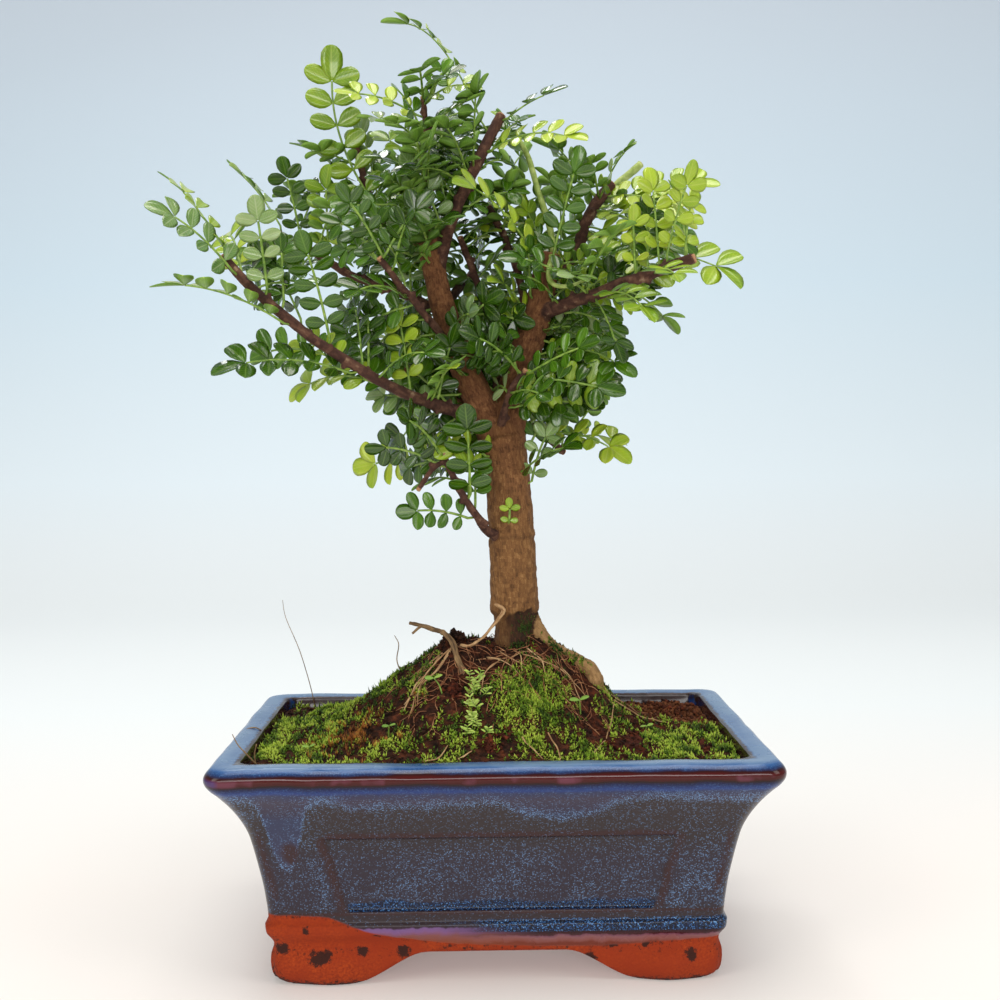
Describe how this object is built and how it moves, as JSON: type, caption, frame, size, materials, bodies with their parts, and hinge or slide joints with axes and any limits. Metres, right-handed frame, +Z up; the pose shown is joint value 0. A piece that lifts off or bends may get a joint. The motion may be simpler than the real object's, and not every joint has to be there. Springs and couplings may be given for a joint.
{
  "type": "japanese pepper bonsai in a glazed bowl",
  "caption": "Small forked indoor tree with feather leaves and cut branches, on a mossy mound of soil in a flared rectangular glazed bowl with corner feet.",
  "frame": {"origin": "on the surface that the bowl's feet stand on, under the middle of the whole plant's box", "axes": "+Z up, +X to the right along the bowl's long side, -Y toward the front"},
  "size_m": [0.1662, 0.1178, 0.2784],
  "materials": {
    "bowl_glaze": "gloss",
    "soil": "matte",
    "bark": "matte",
    "dead_wood": "matte",
    "pale_root": "matte",
    "green_stem": "satin",
    "drain_mesh": "matte",
    "leaf_deep": "satin",
    "leaf_bright": "satin",
    "leaf_pale": "satin"
  },
  "bodies": {
    "root": {"bowl": "bowl_glaze", "dead_twig": "dead_wood", "drain_mesh_left": "drain_mesh", "drain_mesh_right": "drain_mesh", "green_shoot_right": "green_stem", "green_shoot_tall": "green_stem", "leaf_01_low_left": "leaf_bright", "leaf_02_low_left": "leaf_pale", "leaf_03_low_left": "leaf_bright", "leaf_04_low_left": "leaf_pale", "leaf_05_low_left": "leaf_deep", "leaf_06_low_left": "leaf_bright", "leaf_07_low_left": "leaf_bright", "leaf_08_low_left": "leaf_deep", "leaf_09_high_left": "leaf_bright", "leaf_10_high_left": "leaf_deep", "leaf_11_high_left": "leaf_bright", "leaf_12_high_left": "leaf_deep", "leaf_13_front_left": "leaf_deep", "leaf_14_front_left": "leaf_deep", "leaf_15_upper_left": "leaf_bright", "leaf_16_upper_left": "leaf_deep", "leaf_17_upper_left": "leaf_deep", "leaf_18_top_stub": "leaf_bright", "leaf_19_top_stub": "leaf_deep", "leaf_20_top_stub": "leaf_pale", "leaf_21_top_branch": "leaf_bright", "leaf_22_top_branch": "leaf_deep", "leaf_23_top_branch": "leaf_bright", "leaf_24_top_branch": "leaf_deep", "leaf_25_right_leader": "leaf_bright", "leaf_26_right_upper": "leaf_bright", "leaf_27_right_upper": "leaf_deep", "leaf_28_right_leader": "leaf_deep", "leaf_29_right_upper": "leaf_bright", "leaf_30_right_branch": "leaf_bright", "leaf_31_right_branch": "leaf_bright", "leaf_32_right_branch": "leaf_deep", "leaf_33_right_branch": "leaf_deep", "leaf_34_right_leader": "leaf_deep", "leaf_35_right_leader": "leaf_bright", "leaf_36_low_right": "leaf_bright", "leaf_37_low_right": "leaf_bright", "leaf_38_trunk": "leaf_deep", "leaf_39_trunk": "leaf_bright", "leaf_40_side_shoot": "leaf_deep", "leaf_41_side_shoot": "leaf_deep", "leaf_42_side_shoot": "leaf_deep", "leaf_43_front_right": "leaf_deep", "leaf_44_front_right": "leaf_deep", "leaf_45_left_leader": "leaf_deep", "leaf_46_back_branch": "leaf_deep", "leaf_47_back_branch": "leaf_bright", "leaf_48_back_branch": "leaf_deep", "leaf_49_back_right": "leaf_deep", "leaf_50_mid_right": "leaf_bright", "loose_root": "pale_root", "soil_mound": "soil", "trunk_and_branches": "bark", "trunk_sprout": "leaf_bright"}
  },
  "joints": []
}
